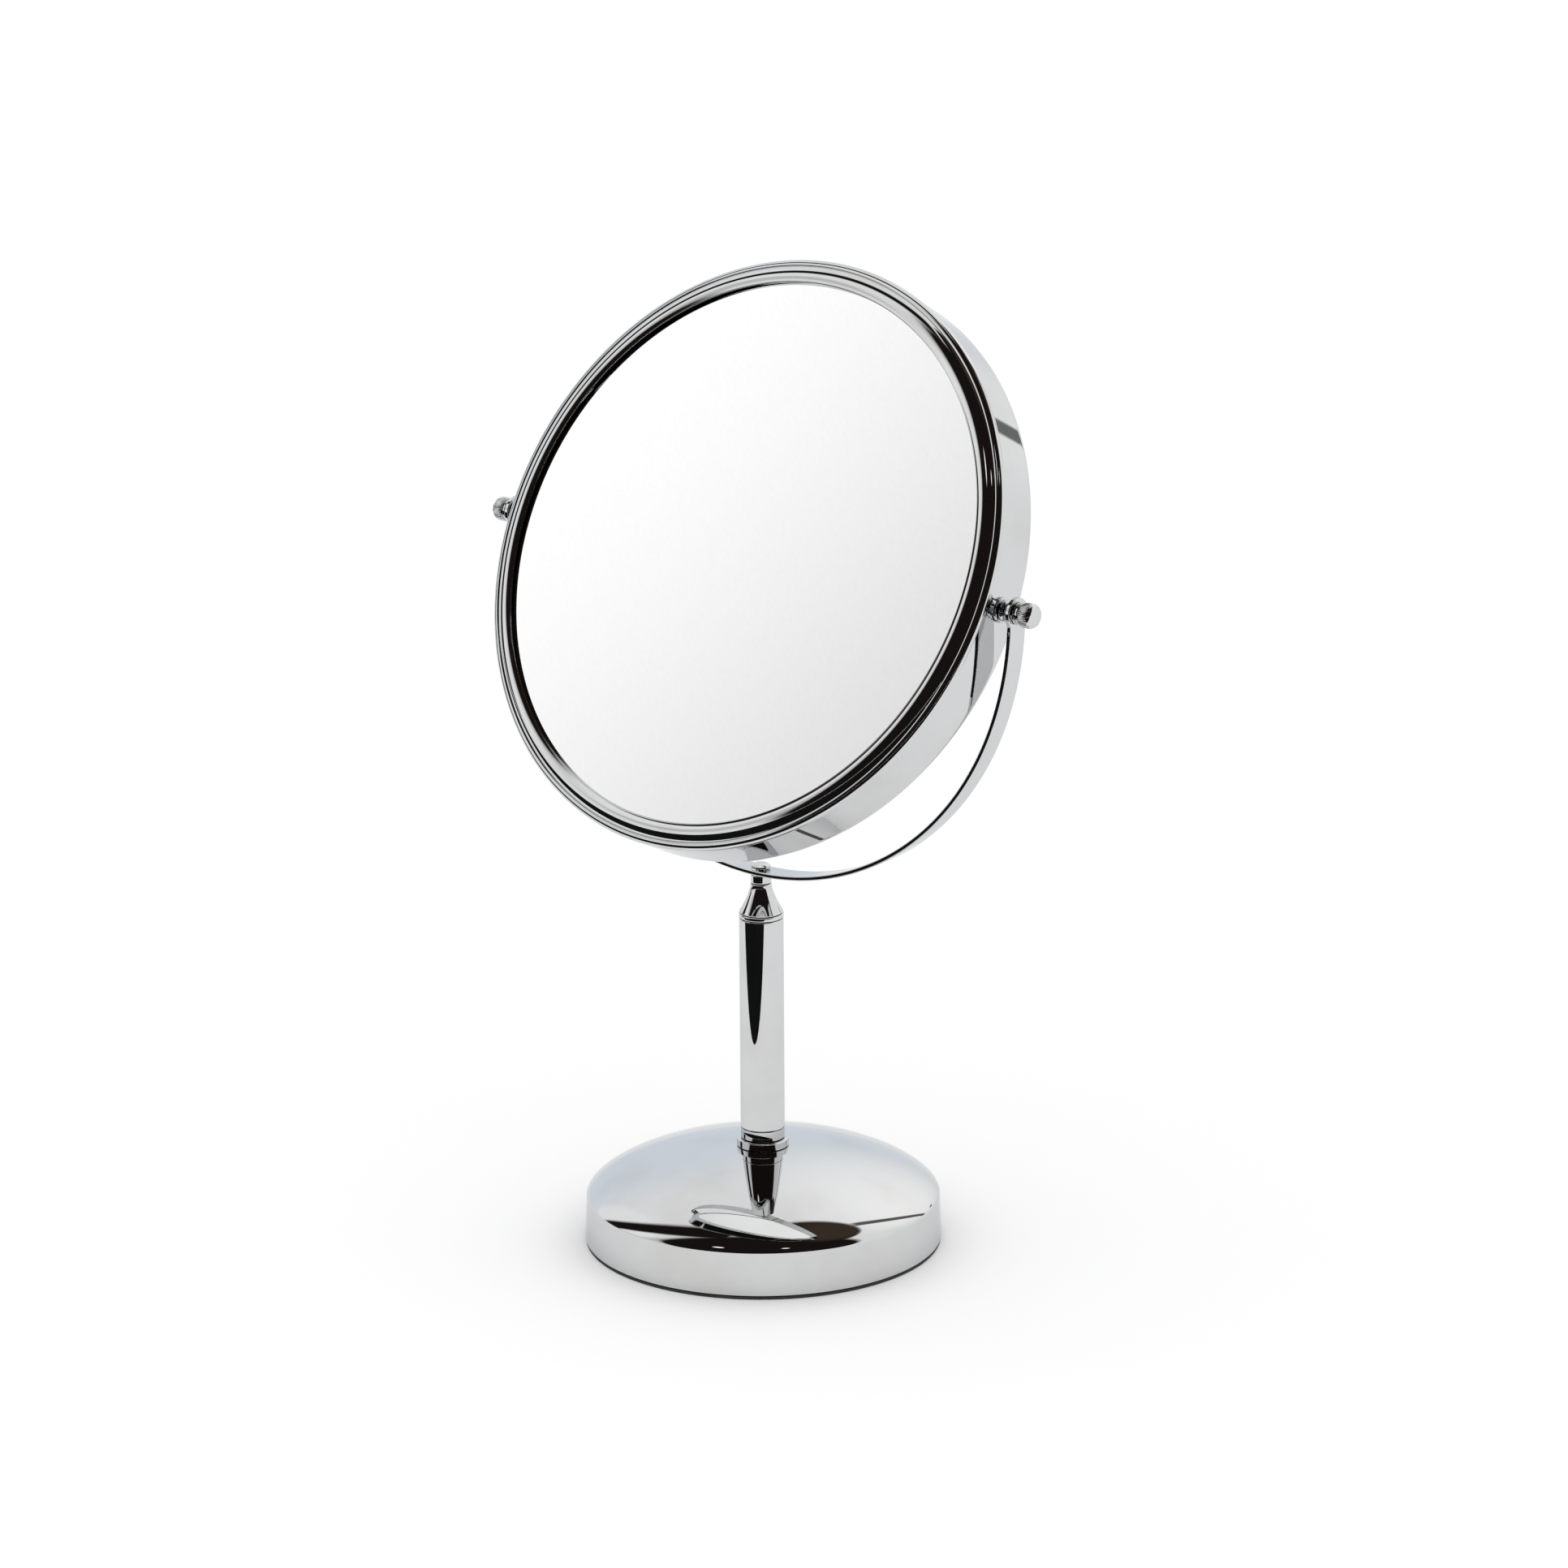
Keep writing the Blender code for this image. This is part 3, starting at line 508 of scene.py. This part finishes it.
# %% One half of the yoke's run
def yoke_run(eye_steps=20, steps=72):
    """Places down one side as (x, z, outward x, outward z, half the width)."""
    run = []
    for i in range(eye_steps):
        turn = 0.5 * math.pi * (i + 0.35) / eye_steps
        run.append((YOKE_INSIDE, EYE * math.cos(turn), 1.0, 0.0, EYE * math.sin(turn)))
    end = math.sqrt(EYE**2 - HALF_WIDTH**2) / YOKE_INSIDE
    angles = [end * i / 8 for i in range(8)]
    angles += [end + (0.5 * math.pi - end) * i / steps for i in range(steps + 1)]
    for angle in angles:
        half = math.sqrt(max(EYE**2 - (angle * YOKE_INSIDE) ** 2, HALF_WIDTH**2))
        out_x, out_z = math.cos(angle), -math.sin(angle)
        run.append((YOKE_INSIDE * out_x, YOKE_INSIDE * out_z, out_x, out_z, half))
    return run


# %% Bend the strip, and drill it
def strip_section(half, thickness, ease):
    inset = min(ease, 0.45 * half)
    return softened([(0.0, -half, inset), (thickness, -half, inset), (thickness, half, inset),
                     (0.0, half, inset)], 3)


shape = bmesh.new()
half_run = yoke_run()
run = half_run + [(-x, z, -a, b, half) for x, z, a, b, half in reversed(half_run[:-1])]
rings = []
for x, z, out_x, out_z, half in run:
    section = strip_section(half, YOKE_OUTSIDE - YOKE_INSIDE, 0.4 * MM)
    rings.append([shape.verts.new((x + out * out_x, across, z + out * out_z)) for out, across in section])
for ring_a, ring_b in zip(rings, rings[1:]):
    for i in range(len(ring_a)):
        shape.faces.new((ring_a[i - 1], ring_a[i], ring_b[i], ring_b[i - 1]))
shape.faces.new(rings[0])
shape.faces.new(rings[-1])
bmesh.ops.recalc_face_normals(shape, faces=shape.faces)
yoke_strip = add_piece("yoke_strip", shape, Matrix.Translation((0.0, 0.0, AXIS_HEIGHT)), 40.0)
across = [(0.0, -knob.top), (2.3 * MM, -knob.top), (2.3 * MM, knob.top), (0.0, knob.top)]
down = [(0.0, yoke_low.z - 5.0 * MM), (2.3 * MM, yoke_low.z - 5.0 * MM), (2.3 * MM, yoke_low.z + 9.0 * MM),
        (0.0, yoke_low.z + 9.0 * MM)]
drilled(yoke_strip, turned("stud_drill", across, 32, RIGHT), turned("screw_drill", down, 32))
stands_for(yoke_strip, "yoke")
print("yoke:", len(run), "sections")

# %% [markdown]
# ## The drum
# The shell of the head is a shallow drum spun from sheet, with a round rear corner and a narrow lip
# turned in behind the rear glass. Its side is the largest plain chrome band, so it has to be truly
# round: 256 steps, and a long flat side between two close rings of points.

# %% Turn the drum
drum = Turned("head_shell", HEAD)
CORNER = 2.2 * MM
SKIN = 1.0 * MM
lip = drum.bore
outline = softened([(lip, drum.foot, 0.35 * MM), (drum.radius, drum.foot, 1.6 * CORNER),
                    (drum.radius, drum.top, 0.3 * MM), (drum.radius - SKIN, drum.top),
                    (drum.radius - SKIN, drum.foot + SKIN, CORNER - SKIN),
                    (lip, drum.foot + SKIN, 0.35 * MM)], 10)
drum_piece = drilled(turned("head_drum", outline, 256, HEAD), turned("side_drill", across, 32, RIGHT))
stands_for(drum_piece, "head_shell")
print("drum:", round(2.0 * drum.radius / MM, 1), "mm across")

# %% [markdown]
# ## The glass rim
# The ring around the front glass is pressed from sheet. Outwards from the glass it has a steep inner
# wall, a wide crown that falls away to the side, a shallow groove and a small round band. The crown
# squeezes the whole room into a few bright and dark stripes, so it needs true arcs with many steps.


# %% An arc for an outline
def arc(centre, radius, start_degrees, end_degrees, steps):
    run = []
    for i in range(steps + 1):
        angle = math.radians(start_degrees + (end_degrees - start_degrees) * i / steps)
        run.append((centre[0] + radius * math.cos(angle), centre[1] + radius * math.sin(angle)))
    return run


# %% Turn the rim
rim = Turned("front_bezel", HEAD)
glass = Turned("front_glass", HEAD)
POCKET = glass.radius + GAP
CROWN = 6.4 * MM
BAND = 2.45 * MM
LIP = 0.5 * MM
UNDERCUT = 0.9 * MM  # the lip stands off the glass, which leaves a dark line round it
lip_back = glass.top + GAP
skirt = drum.radius - SKIN - GAP
seat = drum.top + GAP
outline = [(rim.bore, lip_back + UNDERCUT), (POCKET, lip_back), (POCKET, rim.foot), (skirt, rim.foot),
           (skirt, seat)]
outline += arc((rim.radius - BAND, seat + 0.22 * BAND), BAND, -12.0, 98.0, 24)
outline += arc((rim.bore + 2.7 * MM, rim.top - CROWN), CROWN, 40.0, 110.0, 36)
outline += arc((rim.bore + LIP, outline[-1][1] - LIP), LIP, 100.0, 180.0, 8)
stands_for(turned("glass_rim", outline, 256, HEAD, sharp_degrees=50.0), "front_bezel")
print("rim stands", round((rim.top - glass.top) / MM, 1), "mm proud of the glass")

# %% [markdown]
# ## The two mirrors
# The front glass is flat, with a ground edge. The rear one magnifies, so it is a shallow dish: a
# paraboloid seven millimetres deep, with the same depth on its back. Both are one skin that reflects
# like silver, because nothing of the clear layer in front would show.

# %% Turn the front and the rear glass
outline = [(0.0, glass.foot)] + softened([(glass.radius - 6.0 * MM, glass.foot),
                                          (glass.radius, glass.foot, 0.4 * MM),
                                          (glass.radius, glass.top, 0.5 * MM),
                                          (glass.radius - 6.0 * MM, glass.top)])
stands_for(turned("front_mirror", outline + [(0.0, glass.top)], 192, HEAD), "front_glass")
rear = Turned("rear_glass", HEAD)
REAR_GLASS = 2.0 * MM
dip = rear.top - rear.foot - REAR_GLASS
bowl = [(rear.radius * i / 40, rear.foot + dip * (1.0 - (i / 40) ** 2)) for i in range(41)]
outline = bowl + [(r, z + REAR_GLASS) for r, z in reversed(bowl)]
stands_for(turned("rear_mirror", outline, 192, HEAD, sharp_degrees=60.0), "rear_glass")
print("rear glass dips", round(dip / MM, 1), "mm")

# %% [markdown]
# ## Hinge pieces
# Each side of the head hangs on a stud. Outside the drum come a boss, two barrel-shaped spacers, the
# yoke's eye, a washer and the thumb knob. The barrels are turned with a round back, so each one
# carries a single bright highlight.


# %% Turn the hinge pieces of one side
def hinge_side(side, place):
    boss = Turned("boss_" + side, place)
    outline = softened([(boss.bore, boss.foot), (boss.radius, boss.foot, 0.3 * MM),
                        (boss.radius, boss.top, 0.45 * MM),
                        (boss.bore, boss.top)])
    stands_for(turned("hinge_boss_" + side, outline, 64, place), "boss_" + side)
    for layer in ("inner", "outer"):
        barrel = Turned(f"{layer}_spacer_{side}", place)
        middle = 0.5 * (barrel.foot + barrel.top)
        bulge = 0.5 * (barrel.top - barrel.foot)
        outline = [(barrel.bore, barrel.foot)] + arc((barrel.radius - bulge, middle), bulge, -84.0, 84.0, 14)
        outline += [(barrel.bore, barrel.top)]
        stands_for(turned(f"{layer}_barrel_{side}", outline, 64, place), f"{layer}_spacer_{side}")
    plate = Turned("washer_" + side, place)
    outline = softened([(plate.bore, plate.foot), (plate.radius, plate.foot, 0.15 * MM),
                        (plate.radius, plate.top, 0.3 * MM), (plate.bore, plate.top)])
    stands_for(turned("hinge_washer_" + side, outline, 64, place), "washer_" + side)


for side, place in (("right", RIGHT), ("left", LEFT)):
    hinge_side(side, place)

# %% [markdown]
# ## The thumb knobs
# A knob has a plain ring at its foot, a groove, a knurled band that fingers can grip, and a polished
# round end. Straight knurling is a row of small rounded teeth. They run in and out of the band through
# a short slope at both ends, where their depth goes to nothing.

# %% Turn the thumb knobs
TEETH = 44
THREAD_BORE = 2.3 * MM  # hole in a knob, round the stud
KNURL = 0.22 * MM


def thumb_knob(side, place):
    size = Turned("knob_" + side, place)
    long = size.top - size.foot
    ring_end, groove_end, band_end = (size.foot + share * long for share in (0.14, 0.22, 0.74))
    floor = size.top - 2.2 * MM
    outline = [(0.0, floor), (THREAD_BORE, floor), (THREAD_BORE, size.foot)]
    outline += softened([(0.7 * size.radius, size.foot), (0.92 * size.radius, size.foot, 0.3 * MM),
                         (0.92 * size.radius, ring_end, 0.3 * MM), (0.8 * size.radius, ring_end, 0.15 * MM),
                         (0.8 * size.radius, groove_end, 0.15 * MM), (0.9 * size.radius, groove_end)], 3)
    outline += [(0.95 * size.radius, groove_end + 0.1 * MM, 0.0), (size.radius, groove_end + 0.5 * MM, KNURL)]
    outline += [(size.radius, band_end - 0.4 * MM, KNURL), (0.95 * size.radius, band_end, 0.0)]
    cap = size.top - band_end - 0.1 * MM
    for i in range(16):
        angle = 0.5 * math.pi * i / 16
        outline.append((0.94 * size.radius * math.cos(angle), band_end + 0.1 * MM + cap * math.sin(angle)))
    piece = turned("thumb_knob_" + side, outline + [(0.0, size.top)], 6 * TEETH, place, TEETH)
    return stands_for(piece, "knob_" + side)


for side, place in (("right", RIGHT), ("left", LEFT)):
    piece = thumb_knob(side, place)
    print(piece.name, "has", TEETH, "teeth")

# %% [markdown]
# ## Pieces kept as they are
# The rod, nut, plate, studs, slide ring, core and board are out of sight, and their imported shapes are
# right. They only need their finishes, which go into their material slots.

# %% Finish the kept pieces
kept = [name for name, node in frame["nodes"].items() if not node.hide_render]
for name in kept:
    for material_slot in frame["nodes"][name].material_slots:
        material_slot.material = finishes[SLOT_OF[name]]
print("kept:", ", ".join(sorted(kept)))

# %% [markdown]
# ## The table
# The mirror stands on a wide, pale, matt sheet. Chrome shows what is around it, so the sheet matters as
# much as a lamp: it fills the wall of the base and the side of the tube with light grey. In front, the
# sheet ends and the room beyond is dark. A dark card lies there. Only reflections see it, so the table
# looks endless from every side, and the tube still gets its dark stripe.


# %% Lay the sheet and the dark card
def flat_sheet(name, low, high, height, colour, grain):
    shape = bmesh.new()
    corners = ((low[0], low[1]), (high[0], low[1]), (high[0], high[1]), (low[0], high[1]))
    shape.faces.new([shape.verts.new((x, y, height)) for x, y in corners])
    sheet = add_piece(name, shape, UPRIGHT, 30.0)
    tree, shader = make_finish(name, colour, 0.0, 0.9)
    shade = blended(tree, noise(tree, 9.0, 5.0), colour, [c * grain for c in colour])
    tree.links.new(shade, shader.inputs["Base Color"])
    shader.inputs["Specular IOR Level"].default_value = 0.0
    sheet.data.materials.append(finishes.pop(name))
    return sheet


flat_sheet("table_sheet", (-9.0, -9.0), (9.0, 9.0), cad_low.z, (0.97, 0.97, 0.97), 0.985)
TABLE_EDGE = -0.265
card = flat_sheet("dark_card", (-6.0, -6.0), (6.0, TABLE_EDGE), cad_low.z + 0.4 * MM, (0.012, 0.011, 0.011),
                  0.5)
for way in ("visible_camera", "visible_diffuse", "visible_shadow", "visible_transmission"):
    setattr(card, way, False)

# %% [markdown]
# ## The room that the chrome reflects
# A white tent surrounds the table, a little cooler on the left and brighter on the right, with a soft
# light and a grey panel beside it. Behind and above the camera the tent is open, and so are a patch of
# its ceiling and a narrow slit. The dark, brownish room shows through, with two small lamps in it. A
# small fold and an upright seam mark the cloth. All of this is a function of direction alone, so it can
# be written as a World with a few dot products. Only reflections see it: diffuse light and the camera
# see plain white. It is laid out round the camera, so the chrome looks much darker from behind.


# %% Directions, and soft patches around them
def towards(bearing_degrees, elevation_degrees):
    """Bearing 0 is -Y, the side that the mirror faces, and 90 is +X."""
    bearing, elevation = math.radians(bearing_degrees), math.radians(elevation_degrees)
    flat = math.cos(elevation)
    return Vector((flat * math.sin(bearing), -flat * math.cos(bearing), math.sin(elevation)))


def along(tree, direction, axis):
    """How far direction points along axis, from -1 to 1."""
    dot = tree.nodes.new("ShaderNodeVectorMath")
    dot.operation = "DOT_PRODUCT"
    dot.inputs[1].default_value = axis
    tree.links.new(direction, dot.inputs[0])
    return dot.outputs["Value"]


def joined(tree, operation, first, second):
    sum_node = tree.nodes.new("ShaderNodeMath")
    sum_node.operation = operation
    for socket, value in zip(sum_node.inputs, (first, second)):
        if isinstance(value, bpy.types.NodeSocket):
            tree.links.new(value, socket)
        else:
            socket.default_value = value
    return sum_node.outputs[0]


def patch(tree, direction, bearing, elevation, radius, softness):
    """1 inside a round patch of the sky and 0 outside it. All four numbers are degrees."""
    near = along(tree, direction, towards(bearing, elevation))
    outer, inner = (math.cos(math.radians(radius + side * softness)) for side in (0.5, -0.5))
    return stretched(tree, near, 0.0, 1.0, outer, inner)


# %% Paint the tent
CAMERA_BEARING = 39.715
world = bpy.data.worlds.new("studio")
world.use_nodes = True
bpy.context.scene.world = world
sky = world.node_tree
ray = sky.nodes.new("ShaderNodeTexCoord").outputs["Generated"]
cool = patch(sky, ray, CAMERA_BEARING - 165.0, 5.0, 28.0, 30.0)
glow = along(sky, ray, towards(CAMERA_BEARING + 140.0, 35.0))
light = blended(sky, stretched(sky, glow, 0.0, 1.0, 0.78, 1.05),
                blended(sky, cool, (1.03, 1.03, 1.03), (0.91, 0.97, 1.04)), (1.32, 1.31, 1.3))
light = blended(sky, patch(sky, ray, CAMERA_BEARING - 76.0, 28.0, 15.0, 6.0), light, (0.72, 0.72, 0.72))
softbox = patch(sky, ray, CAMERA_BEARING - 113.0, 28.0, 25.35, 5.7)
light = blended(sky, softbox, light, (1.1, 1.1, 1.1))


# %% Stripes that run straight up the tent
def stripe(tree, direction, bearing, width, elevation, length):
    """1 inside an upright stripe. All four numbers are degrees."""
    off = joined(tree, "ABSOLUTE", along(tree, direction, towards(bearing + 90.0, 0.0)), 0.0)
    half = math.sin(math.radians(0.5 * width))
    return joined(tree, "MULTIPLY", stretched(tree, off, 1.0, 0.0, 0.7 * half, 1.3 * half),
                  patch(tree, direction, bearing, elevation, 0.5 * length, 4.0))


# %% Open the tent to the dark room
opening = patch(sky, ray, CAMERA_BEARING - 3.0, 33.0, 60.0, 6.0)
ceiling = patch(sky, ray, CAMERA_BEARING + 85.0, 75.0, 21.0, 3.0)
slit = stripe(sky, ray, CAMERA_BEARING - 111.5, 16.0, 40.0, 80.0)
room = joined(sky, "MAXIMUM", joined(sky, "MAXIMUM", opening, ceiling), slit)
light = blended(sky, room, light, (0.012, 0.009, 0.008))
brown = joined(sky, "MULTIPLY", ceiling, patch(sky, ray, CAMERA_BEARING + 110.0, 66.0, 14.0, 14.0))
light = blended(sky, brown, light, (0.055, 0.038, 0.028))

# %% Hang the lamps, and mark the seams of the tent
for bearing, elevation, radius in ((-40.0, 55.0, 2.5), (20.0, 58.0, 1.5)):
    lamp = patch(sky, ray, CAMERA_BEARING + bearing, elevation, radius, 2.0)
    light = blended(sky, lamp, light, (1.6, 1.55, 1.45))
fold = patch(sky, ray, CAMERA_BEARING + 137.5, 9.0, 2.0, 1.2)
light = blended(sky, fold, light, (0.2, 0.22, 0.21))
seam = stripe(sky, ray, CAMERA_BEARING + 125.0, 4.0, 34.0, 50.0)
light = blended(sky, seam, light, (0.14, 0.13, 0.12))

# %% Let only reflections see it
background = sky.nodes["Background"]
path = sky.nodes.new("ShaderNodeLightPath")
sky.links.new(blended(sky, path.outputs["Is Glossy Ray"], (1.07, 1.07, 1.07), light),
              background.inputs["Color"])
print("room: tent, soft light, dark opening, lamps and a seam")

# %% [markdown]
# ## Camera and colour
# The camera stands about 2.8 metres away with a long lens, to the right of the mirror's front and a
# little above it. The plain Standard view keeps white white, which suits a product on a white table.

# %% Place the camera
DISTANCE, HEIGHT = 2.6343, 0.98688
LOOK_BEARING, LOOK_DOWN, ROLL = 39.502, 16.653, -0.353
lens = bpy.data.cameras.new("camera")
lens.lens = 152.8
lens.sensor_width = 36.0
camera = bpy.data.objects.new("camera", lens)
bpy.context.scene.collection.objects.link(camera)
turn = (Matrix.Rotation(math.radians(LOOK_BEARING), 4, "Z")
        @ Matrix.Rotation(math.radians(90.0 - LOOK_DOWN), 4, "X")
        @ Matrix.Rotation(math.radians(ROLL), 4, "Z"))
stand = Matrix.Rotation(math.radians(CAMERA_BEARING), 4, "Z") @ Vector((0.0, -DISTANCE, HEIGHT))
camera.matrix_world = Matrix.Translation(stand) @ turn
bpy.context.scene.camera = camera
bpy.context.scene.view_settings.view_transform = "Standard"
